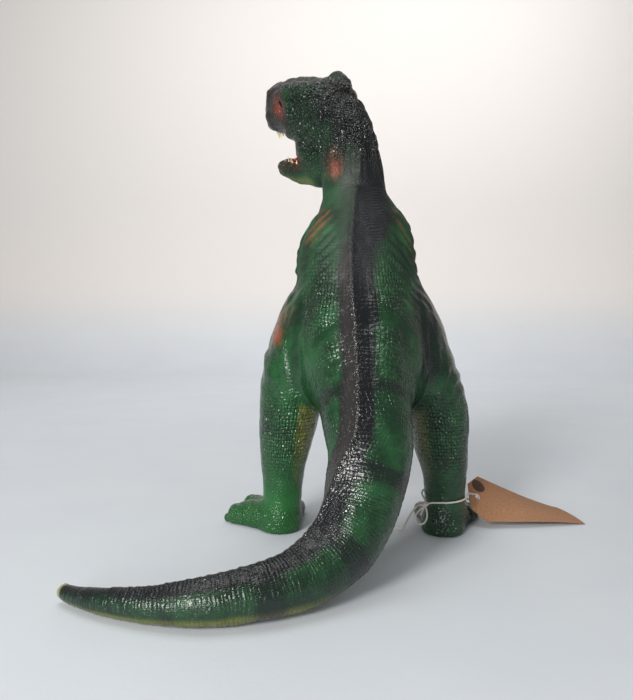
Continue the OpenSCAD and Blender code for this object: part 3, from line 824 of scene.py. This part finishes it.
# How strongly the cells, rings and pebbles stand out, and the millimetres that the cells are laid out in.
patches = 1.2 * hump(np.abs(across), 29, 13) * hump(z, 200, 44) * step(14, 0, y)
patches += 1.4 * hump(z, 92, 28) * (leg_gap < 2) * step(16, 2, y)
back_cells = 1.7 * np.clip(patches, 0, 1) * step(10, 15, np.abs(across))
cells = (0.2 * step(262, 225, z) + back_cells + 0.08 * on_tail) * clear
cells = cells * (1 - 0.5 * on_tail * step(200, 330, tail_run))
cells = cells * step(2.9, 2.5, np.where(is_tail, np.abs(tail_turn), 0)) * (1 - front)
neck_rings = step(215, 250, z) * (0.15 + 0.75 * step(-2, 6, across) * step(34, 18, across))
rings = (neck_rings + on_tail * (0.3 - 0.14 * hump(tail_run, 105, 55))) * clear
limb_end = np.minimum(where["foot"], where["arm"])
pebbles = 0.12 + 0.5 * step(8, 0, limb_end) + 0.35 * step(6, 0, np.abs(across)) * crest
TORSO_R, TAIL_R, LEG_R = 52, 27, 30  # radii that turn an angle into millimetres across
OUT = np.full(len(p), 1.5)
grid = np.stack([turn * TORSO_R, z, OUT], 1)
grid[is_tail] = np.stack([tail_turn * TAIL_R, tail_run, OUT], 1)[is_tail]
for name, leg in (("left", left_leg), ("right", right_leg)):
    leg_x, leg_y, _, _ = leg.around(p)
    mine = owner == name
    leg_turn = np.arctan2(leg_x, -leg_y)
    grid[mine] = np.stack([leg_turn * LEG_R, z, OUT], 1)[mine]
    cells[mine] *= step(2.8, 2.3, np.abs(leg_turn))[mine]
mine = (owner == "foot") | (owner == "arm")
grid[mine] = p[mine]
colour_attribute(body, "relief", cells, rings * (1 - 0.8 * front), pebbles)
vector_attribute(body, "cells", grid)
cut_flat(body, SEAM_CENTRE[2], True, BODY_CUP_FLOOR)

# ---------------------------------------------------------------- head
HEAD_AT = np.array([-36.0, 39.0, 391.0])
HEAD_TURN, HEAD_TILT, HEAD_LIFT = 48, 18, 4  # degrees
head_matrix = np.array(Matrix.Rotation(math.radians(HEAD_TURN), 3, "Z")
                       @ Matrix.Rotation(math.radians(HEAD_LIFT), 3, "X")
                       @ Matrix.Rotation(math.radians(-HEAD_TILT), 3, "Y"))


def to_head(p):
    """Design millimetres to the head's own, with x to its right, y ahead and z up."""
    return (p - HEAD_AT) @ head_matrix


def from_head(p):
    return np.asarray(p, float) @ head_matrix.T + HEAD_AT


def pair(balls, blend, cut=False):
    """A chain and its mirror image across the head's middle."""
    return [Chain([[side * ball[0], *ball[1:]] for ball in balls], blend, cut) for side in (1, -1)]


neck = Level(NECK, 10)
HEAD_SHAPES = [
    *pair([[8, -8, -1, 20], [7, 18, 1, 19], [6, 36, 2, 17.5], [4, 47, 2, 16]], 6),
    *pair([[10, 20, -12, 16], [8, 38, -9, 15], [7, 48, -8, 13.5]], 6),
    *pair([[12, -2, -20, 17], [12, 24, -17, 14], [10, 36, -12.5, 10]], 6),
    *pair([[13, 0, -20, 17], [13, 10, -40, 15], [10, 6, -60, 14]], 7),
    *pair([[10, 6, -60, 14], [8, 32, -62, 10], [4, 57, -57, 8]], 6),  # lower jaw
    Chain([[21, -8, 12, 9], [27, 2, 14, 10.5], [21, 16, 10, 7.5]], 4),  # right brow
    Chain([[-21, -2, 12, 9], [-22, 16, 13, 8.5], [-20, 33, 11, 6.5]], 3.5),  # left brow
    Chain([[0, 49, 13, 10], [0, 34, 14, 10], [0, 12, 13, 11]], 7),
    *pair([[8, 52, 11, 7], [9, 44, 14, 6]], 4),
    Chain([[0, 20, -34, 8], [0, 38, -29, 8.5], [0, 50, -27, 7]], 3, True),  # mouth, above the tongue
    Chain([[0, 16, -47, 8], [0, 36, -55, 7], [0, 53, -52, 4.5]], 3, True),  # mouth, at the tongue
    *pair([[9, 63, 4, 2.4]], 2, True),  # nostrils
    *pair([[21, 27, 5, 4.4]], 2.5, True),  # eye sockets
    *pair([[22, 22, 0, 4], [20, 28, -5, 3], [17, 40, -3, 2.6]], 4),
    *pair([[21.5, 20, 16, 5], [26, 19.5, 10.5, 5.4], [26, 19, 2, 5], [24, 21, -6, 4.5]], 3),
    *pair([[15, 9, 15.5, 4.5], [21, 20, 15, 5]], 5),
    *pair([[8, 51, -10.5, 10]], 5),
    *pair([[19, 14, -36, 4.5], [22, 12, -26, 4]], 5),
]
MOUTH_SPACE = [shape for shape in HEAD_SHAPES if shape.cut][:2]


def head_field(p):
    q = to_head(p)
    skull = combined(HEAD_SHAPES, q)
    near = neck.near(p)
    skull[near] = smooth_min(skull[near], neck.field(p[near]), 12)
    return skull


HEAD_BOX = ((-104, -22, 300), (26, 108, 436))
HEAD_GRID = 1.7  # millimetres
head = make_mesh("head_skin_mould", *surface(head_field, *HEAD_BOX, HEAD_GRID))
subdivide(head)
p = project(head_field, points_of(head))
set_points(head, p)
normal = normals_of(head)
head_normal = normal @ head_matrix
q = to_head(p)
even_q = np.abs(q) * [1, 1, 0] + q * [0, 0, 1]  # the same on both sides of the head


def blot(places, centre, spread):
    """A soft patch that is 1 at its centre."""
    return np.exp(-(((places - centre) / spread) ** 2).sum(1))


# Relief: the crest and folds of the nape, lumps, and a smooth mouth.
x, y, z = p.T
CREST_TURN = [(310, 0.22), (331, 0.26), (357, 0.31), (366, 0.24), (376, 0.12), (392, -0.1)]  # radians, by z
NAPE_X, NAPE_Y, NAPE_R = -12, 20, 27  # the nape's middle, and the radius that turns an angle into millimetres
turn = np.arctan2(x - NAPE_X, NAPE_Y - y)
across = (turn - np.interp(z, *zip(*CREST_TURN))) * NAPE_R
nape = step(8, -14, q[:, 1]) * step(312, 322, z)
lift = 0.8 * np.clip(np.sin(turn * 17 + 1.5 * lumps(p, 18, 5)), -0.3, 1) * nape
crest = 2.6 * np.clip(1 - np.abs(across) / 11, 0, 1) ** 1.3 + 1.4 * np.exp(-(across / 2.0) ** 2)
lift += crest * nape * step(398, 380, z)
lift += (0.9 * lumps(p, 8, 6) + 0.6 * lumps(p, 3.8, 7) * step(325, 345, z)) * step(314, 330, z)
inside = step(1.6, 0.7, np.min([np.abs(shape.field(q)) for shape in MOUTH_SPACE], 0))
mouth_back = step(0.2, 0.7, head_normal[:, 1]) * hump(q[:, 2], -41, 9) * step(34, 24, q[:, 1])
inside = np.maximum(inside, mouth_back * step(17, 12, np.abs(q[:, 0])))
lift *= 1 - inside
lift *= step(310.1, 313, z)
p = p + normal * lift[:, None]
set_points(head, p)

# Paint: the dark crown and stripe, grey snout and brows, red cheeks and neck, and the mouth; a painted
# highlight on each brow ridge and along the nape's crest, and painted shade behind the brows and in the
# folds at the mouth's corners.
x, y, z = p.T
wander = 3.5 * lumps(p, 26, 13) + 1.6 * lumps(p, 9, 14)
low_neck = step(352, 338, z)
is_left = across < 0
stripe = np.where(across > 0, step(wander + 45, wander + 32, across),
                  0.45 * step(wander / 2 + 14, wander / 2, -across))
crown = step(-0.9, -0.3, turn + 0.15 * lumps(p, 12, 16)) * step(2.7, 2.0, turn) * step(16, -12, q[:, 1])
skull_back = step(-8, -24, q[:, 1] + 6 * lumps(p, 12, 16)) * step(-22, -10, q[:, 2] + 4 * lumps(p, 9, 18))
back = low_neck * stripe + (1 - low_neck) * np.maximum(crown, skull_back)
back = np.clip(back - 0.9 * blot(q, [27, -2, 15], [13, 18, 12]), 0, 1)
ahead = 0.66 * np.abs(q[:, 0]) + 0.75 * q[:, 1]
snout = step(31, 36, ahead + 1.5 * lumps(p, 9, 17)) * step(-30, -22, q[:, 2])
skull_top = step(0.35, 0.75, head_normal[:, 2]) * step(4, 10, q[:, 2]) * step(-16, -2, q[:, 1])
snout = np.maximum(snout, 0.8 * skull_top * step(16, 8, q[:, 0]))
# Left of the crest, grey-brown paint; on the crest itself, a lighter grey line that is a painted highlight.
beside_stripe = np.where(is_left, 0.62 * step(30, 6, -across), 0.8 * np.exp(-(across / 1.6) ** 2))
grey = np.maximum(snout, low_neck * beside_stripe)
grey = np.maximum(grey, 0.8 * blot(even_q, [19, 15, 20], [5, 12, 5]))
ragged = 0.85 + 0.3 * lumps(p, 5, 15)
cheek = np.exp(-((ahead - 41) / 6.5) ** 2 - ((q[:, 2] - 2) / 12) ** 2)
neck_patch = np.exp(-(((x + 26) / 8) ** 2 + ((z - 330) / 16) ** 2)) * step(30, 20, y)
red = 0.85 * cheek * step(9, 15, np.abs(q[:, 0]))
red += neck_patch * ragged * (0.9 + 0.3 * lumps(p, 2.6, 19))
red += 0.4 * step(16, 26, x) * (y < 30) * step(-20, -40, q[:, 1]) * ragged
lip = 0.5 * hump(q[:, 2], -53.5, 4.5) * step(12, 24, q[:, 1])
under = 0.95 * step(0.2, -0.5, head_normal[:, 2]) * step(-54, -63, q[:, 2]) * step(-4, 12, q[:, 1])
throat = step(0.3, 0.85, normal[:, 1]) * step(352, 336, z)
# Half-strength mouth red at each corner of the mouth is painted shade in the fold there.
inside = np.maximum(inside, 0.5 * blot(even_q, [26.5, 15, -42], [7, 7, 5]))
# Brighter green on each brow ridge is a painted highlight.
brow = blot(even_q, [27, 19, 8], [9, 4.5, 13])
hollow = blot(even_q, [27, 9.5, 6], [9, 3.5, 9])
# Darker on the left of the neck below z 330, and painted shade in the hollow behind each brow ridge.
bands_and_shade = 0.28 * low_neck * is_left * step(330, 318, z) + 0.75 * hollow
polish = 0.3 * np.exp(-(across / 2.5) ** 2) * nape * step(324, 334, z)
haze = low_neck * step(0, 5, -across) * step(20, 12, -across)
pebbles = (1 - inside) * (0.3 + 1.1 * step(318, 340, z) * (1 - 0.8 * snout)) * (1 - 0.25 * haze)
none = np.zeros(len(p))
colour_attribute(head, "paint", back, np.maximum(0.6 * under, throat), np.clip(red + lip, 0, 1))
colour_attribute(head, "shade", bands_and_shade, np.maximum(under, 0.55 * brow), inside)
colour_attribute(head, "extra", np.clip(grey, 0, 1), none, 1 - 0.9 * step(328, 345, z) - polish)
colour_attribute(head, "relief", none, none, pebbles)
vector_attribute(head, "cells", p)
cut_flat(head, SEAM_CENTRE[2] + SEAM_GAP, False, HEAD_CUP_FLOOR)

vinyl = vinyl_material()
SKINS = (
    (body, "body", ("torso_skin", "tail_skin", "left_leg_skin", "right_leg_skin", "left_arm", "right_arm",
                    "torso_filling", "tail_filling", "left_leg_filling", "right_leg_filling")),
    (head, "head", ("head_skin", "head_filling")))
for piece, body_name, nodes in SKINS:
    piece.data.materials.append(vinyl)
    fit_piece(piece, body_name, "vinyl", *nodes)


# ---------------------------------------------------------------- teeth, tongue, eyes
TOOTH_RINGS, TOOTH_SIDES = 6, 10


def tooth(at, tip, radius):
    """Points of a curved cone from at to at + tip, ring by ring."""
    t = np.linspace(0, 1, TOOTH_RINGS)
    bend = np.array([0, -0.18, 0]) * np.linalg.norm(tip)
    path = at + t[:, None] * tip + (t ** 2)[:, None] * bend
    side = unit(np.cross(tip, [0.2, 1, 0.1]))
    other = unit(np.cross(tip, side))
    angle = np.arange(TOOTH_SIDES) * 2 * np.pi / TOOTH_SIDES
    across = np.cos(angle)[None, :, None] * side + np.sin(angle)[None, :, None] * other
    r = radius * (1 - t) ** 0.75 + 0.06
    return (path[:, None] + r[:, None, None] * across).reshape(-1, 3)


def tooth_row(name, node, half_w, length, back_y, z, drop, count, thick, square):
    """Teeth along a jaw that is half_w wide each side; square below 1 makes its front blunter."""
    teeth, faces = [], []
    for i in range(count):
        a = math.pi * i / (count - 1)
        size = 1 + 0.25 * math.sin(i * 2.4) - 0.25 * abs(math.cos(a)) ** 3
        wide = math.copysign(abs(math.cos(a)) ** square, math.cos(a))
        at = np.array([half_w * wide, back_y + length * max(math.sin(a), 0) ** (0.4 + 0.6 * square), z])
        teeth.append(tooth(at, np.array([0.12 * half_w * math.cos(a) * 0.4, 0, drop * size]), thick))
        faces += tube_faces(TOOTH_RINGS, TOOTH_SIDES, i * TOOTH_RINGS * TOOTH_SIDES)
    piece = make_mesh(name, from_head(np.concatenate(teeth)), faces)
    face_outwards(piece)
    piece.data.materials.append(ivory)
    fit_piece(piece, "head", "tooth_paint", node)


ivory = mottled("tooth_paint", (0.55, 0.44, 0.22), (0.80, 0.72, 0.48), (420, 2), (1500, 2), 0.0001, 0.5, 0.35,
                Specular_IOR_Level=0.5)
tooth_row("upper_tooth_row", "upper_teeth", half_w=13, length=30, back_y=27, z=-20, drop=-6.8,
          count=19, thick=1.2, square=0.5)
tooth_row("lower_tooth_row", "lower_teeth", half_w=9.5, length=30, back_y=29, z=-52.5, drop=5.2,
          count=15, thick=1.15, square=1.0)

tongue_path = catmull([[0, 12, -48], [0, 24, -49], [0, 36, -51], [0, 46, -50]], 10)
tongue_r = np.interp(np.linspace(0, 1, len(tongue_path)), [0, 0.2, 0.8, 1], [5.5, 6, 5, 1.5])
points, faces = sweep(tongue_path, tongue_r[:, None], 20)
points[:, 2] -= 0.8 * np.exp(-(points[:, 0] / 1.5) ** 2)
tongue = make_mesh("tongue_mould", from_head(points), faces)
tongue.data.materials.append(mottled("tongue_paint", (0.085, 0.008, 0.010), (0.17, 0.022, 0.026), (160, 3),
                                     (900, 2), 0.0002, 0.6, 0.35, Specular_IOR_Level=0.5))
fit_piece(tongue, "head", "mouth_paint", "tongue")


EYE_R = 4.4


def eye(name, side, node):
    """An eyeball with a raised lens; its paint masks are worked out from where its front is."""
    centre = np.array([side * 19.2, 25.0, 5])
    look = unit(np.array([side * 0.5, 0.86, 0.06]))
    bm = bmesh.new()
    bmesh.ops.create_icosphere(bm, subdivisions=5, radius=1)
    ball = np.array([v.co[:] for v in bm.verts])
    faces = [[v.index for v in f.verts] for f in bm.faces]
    bm.free()
    front = ball @ look
    up = unit(np.array([0, 0, 1.0]) - look * look[2])
    lens_x, lens_z = ball @ np.cross(up, look), ball @ up
    lens = 0.5 * step(0.75, 0.95, front)
    obj = make_mesh(name, from_head(centre + ball * EYE_R + look * lens[:, None]), faces)
    pupil = step(0.16, 0.10, np.abs(lens_x) + 0.25 * np.abs(lens_z) ** 2) * step(0.55, 0.4, np.abs(lens_z))
    colour_attribute(obj, "paint", pupil * (front > 0), step(0.72, 0.80, front), 0 * front)
    m = Nodes(name + "_paint", Specular_IOR_Level=0.5, Coat_Weight=1.0, Coat_Roughness=0.05)
    slit, iris, _ = m.split("paint")
    rays = m.noise(700, 4)
    colour = m.mix(iris, (0.008, 0.022, 0.012), (0.62, 0.36, 0.04))
    colour = m.mix(m.math("MULTIPLY", m.span(rays, 0.4, 0.6), iris), colour, (0.40, 0.14, 0.02))
    colour = m.mix(slit, colour, (0.003, 0.003, 0.003))
    obj.data.materials.append(m.finish(colour, 0.2, m.bump(rays, 0.00005, 0.3)))
    fit_piece(obj, "head", "eye_paint", node)


eye("left_eyeball", -1, "left_eye")
eye("right_eyeball", 1, "right_eye")


# ---------------------------------------------------------------- tag
TAG_L, TAG_W, TAG_T, TAG_CLIP, TAG_TWIST, TAG_CURL = 108.0, 54.0, 0.6, 14.0, 45.0, 1.2
HOLE_R, HOLE_AT = 2.6, (9.0, 0)
STICKER_R, STICKER_AT, STICKER_T = 7, (12, 14), 0.2
TAG_START, TAG_END = np.array([103, 35, 25.5]), np.array([206.5, 54, 0.4])
TAG_DIR = unit(TAG_END - TAG_START)
TAG_SIDE = unit(np.array([-TAG_DIR[1], TAG_DIR[0], 0]))
TAG_UP = np.cross(TAG_DIR, TAG_SIDE)


def tag_point(u, v, w):
    """Place on the card: u from its hole end, v from its middle line, w above its middle plane."""
    u, v, w = (np.asarray(value, float)[..., None] for value in (u, v, w))
    turn = np.radians(TAG_TWIST) * np.clip(1 - u / TAG_L, 0, 1) ** 1.5
    side = np.cos(turn) * TAG_SIDE + np.sin(turn) * TAG_UP
    bow = TAG_CURL * (0.15 + 0.85 * u / TAG_L) * (1 - (2 * v / TAG_W) ** 2)
    return TAG_START + u * TAG_DIR + v * side + (w + bow) * np.cross(TAG_DIR, side)


def inset(point, outline):
    """How far a point lies inside an outline that runs anticlockwise."""
    return min(np.cross(unit(b - a), point - a) for a, b in zip(outline, np.roll(outline, -1, 0)))


def cut_out(outline, hole, spacing):
    """Points and triangles of a flat shape, with a grid inside its outline and clear of its hole."""
    edge = []
    for a, b in zip(outline, np.roll(outline, -1, 0)):
        n = max(1, round(np.linalg.norm(b - a) / spacing))
        edge += [a + (b - a) * k / n for k in range(n)]
    points, loops = [Vector(e) for e in edge], [list(range(len(edge)))]
    if hole:
        turns = [2 * math.pi * k / 32 for k in range(32)]
        loops.append(list(range(len(points), len(points) + len(turns)))[::-1])
        points += [Vector((hole[0] + HOLE_R * math.cos(a), hole[1] + HOLE_R * math.sin(a))) for a in turns]

    def off_hole(u, v, reach):
        return not hole or math.hypot(u - hole[0], v - hole[1]) > reach

    low, high = outline.min(0), outline.max(0)
    for u in np.arange(low[0] + spacing, high[0], spacing):
        for v in np.arange(low[1] + spacing, high[1], spacing):
            if off_hole(u, v, HOLE_R + 1.0) and inset(np.array([u, v]), outline) > spacing * 0.5:
                points.append(Vector((u, v)))
    edges = [(loop[k], loop[(k + 1) % len(loop)]) for loop in loops for k in range(len(loop))]
    verts, _, tris, *_ = geometry.delaunay_2d_cdt(points, edges, [], 1, 1e-5)
    flat, tris = np.array([v[:] for v in verts]), np.array(tris)
    tris = tris[[inset(m, outline) > 0 and off_hole(*m, HOLE_R * 0.97) for m in flat[tris].mean(1)]]
    area = np.cross(flat[tris[:, 1]] - flat[tris[:, 0]], flat[tris[:, 2]] - flat[tris[:, 0]])
    tris[area < 0] = tris[area < 0][:, ::-1]
    return flat, tris


def flat_card(name, outline, hole, spacing, thick, lift):
    """A card cut to an outline and laid on the tag's twisted surface, lift above its middle plane."""
    flat, tris = cut_out(np.array(outline, float), hole, spacing)
    n = len(flat)
    sides = [tag_point(flat[:, 0], flat[:, 1], np.full(n, lift + s * thick / 2)) for s in (-1, 1)]
    seen = {(a, b): True for t in tris for a, b in ((t[0], t[1]), (t[1], t[2]), (t[2], t[0]))}
    walls = [[a, b, b + n, a + n] for a, b in seen if (b, a) not in seen]
    faces = tris[:, ::-1].tolist() + (tris + n).tolist() + walls
    obj = make_mesh(name, np.concatenate(sides), faces, smooth=False)
    face_outwards(obj)
    return obj


def kraft_material():
    m = Nodes("kraft_card", Specular_IOR_Level=0.25)
    stretched = m.add("VectorMath", inputs={0: m.place, 1: (1.0, 3.0, 1.0)}, operation="MULTIPLY")
    fibre = m.noise(420, 5, 0.7, vector=stretched)
    colour = m.mix(m.span(fibre, 0.35, 0.65), (0.27, 0.135, 0.068), (0.40, 0.215, 0.12))
    colour = m.mix(m.span(m.noise(30, 2), 0.4, 0.7, 0.0, 0.35), colour, (0.36, 0.17, 0.09))
    return m.finish(colour, 0.72, m.bump(fibre, 0.00012, 0.6))


half = TAG_W / 2
card = flat_card("kraft_card", [[0, TAG_CLIP - half], [TAG_CLIP, -half], [TAG_L, -half], [TAG_L, half],
                                [TAG_CLIP, half], [0, half - TAG_CLIP]], HOLE_AT, 3.0, TAG_T, 0)
card.data.materials.append(kraft_material())
fit_piece(card, "tag", "card", "tag_card")
round_edge = [[STICKER_AT[0] + STICKER_R * math.cos(a), STICKER_AT[1] + STICKER_R * math.sin(a)]
              for a in np.linspace(0, 2 * math.pi, 40)[:-1]]
spot = flat_card("plain_sticker", round_edge, None, 1.5, STICKER_T, TAG_T / 2 + STICKER_T)
spot.data.materials.append(mottled("plain_sticker", (0.045, 0.022, 0.015), (0.085, 0.045, 0.032), (300, 3),
                                   (1200, 2), 0.00006, 0.5, 0.42, Specular_IOR_Level=0.4))
fit_piece(spot, "tag", "sticker", "tag_sticker")


# ---------------------------------------------------------------- plug and socket inside the neck
for node in ("neck_socket", "neck_plug"):
    materials = frame["nodes"][node].data.materials
    materials.clear()
    materials.append(mottled(node + "_plastic", (0.09, 0.09, 0.09), (0.14, 0.14, 0.135), (60, 2), (900, 3),
                             0.0001, 0.5, 0.5, Specular_IOR_Level=0.45))


# ---------------------------------------------------------------- floor, backdrop and light
def floor_and_wall():
    """A pale floor that turns up into a pale wall behind the object."""
    turn_at, turn_r, top = 1.3, 0.5, 3.2
    profile = [(-3.0, 0.0), (turn_at, 0.0)]
    for k in range(1, 13):
        a = math.radians(90 * k / 12)
        profile.append((turn_at + turn_r * math.sin(a), turn_r - turn_r * math.cos(a)))
    profile.append((turn_at + turn_r, top))
    points = [(x, y, z) for y, z in profile for x in (-4, 4)]
    faces = [(2 * i, 2 * i + 1, 2 * i + 3, 2 * i + 2) for i in range(len(profile) - 1)]
    obj = make_mesh("studio_floor", points, faces, metres=True)
    m = Nodes("studio_floor", Specular_IOR_Level=0.2)
    colour = m.mix(m.noise(9, 3), (0.56, 0.60, 0.65), (0.62, 0.66, 0.70))
    height = m.add("SeparateXYZ", out=2, inputs={0: m.place})
    colour = m.mix(m.span(height, 0.02, 0.25), colour, (0.72, 0.69, 0.67))
    obj.data.materials.append(m.finish(colour, 0.8, m.bump(m.noise(300, 3), 0.0003, 0.3)))


def soft_light(name, at, aim, size, power, colour):
    data = bpy.data.lights.new(name, "AREA")
    data.shape, data.size, data.size_y = "RECTANGLE", size[0], size[1]
    data.energy, data.color = power, colour
    obj = bpy.data.objects.new(name, data)
    scene.collection.objects.link(obj)
    obj.location = at
    obj.rotation_mode = "QUATERNION"
    obj.rotation_quaternion = (Vector(aim) - Vector(at)).to_track_quat("-Z", "Y")


floor_and_wall()
soft_light("key", (-0.85, -1.45, 0.85), (0, 0, 0.2), (0.45, 0.45), 27, (1.0, 0.98, 0.95))
soft_light("fill", (-0.50, -1.6, 0.30), (0, 0, 0.15), (0.5, 0.3), 10, (1.0, 0.99, 0.97))
soft_light("top", (-0.2, 0.1, 1.9), (0, 0, 0.1), (1.4, 1.0), 12, (1.0, 0.99, 0.97))
soft_light("back", (0.2, 1.0, 1.2), (0, 1.8, 0.5), (1.6, 0.8), 9, (1.0, 0.98, 0.96))
world = bpy.data.worlds.new("studio")
world.use_nodes = True
background = world.node_tree.nodes["Background"]
background.inputs["Color"].default_value = (0.90, 0.89, 0.88, 1)
background.inputs["Strength"].default_value = 0.28
scene.world = world
scene.view_settings.view_transform = "Standard"
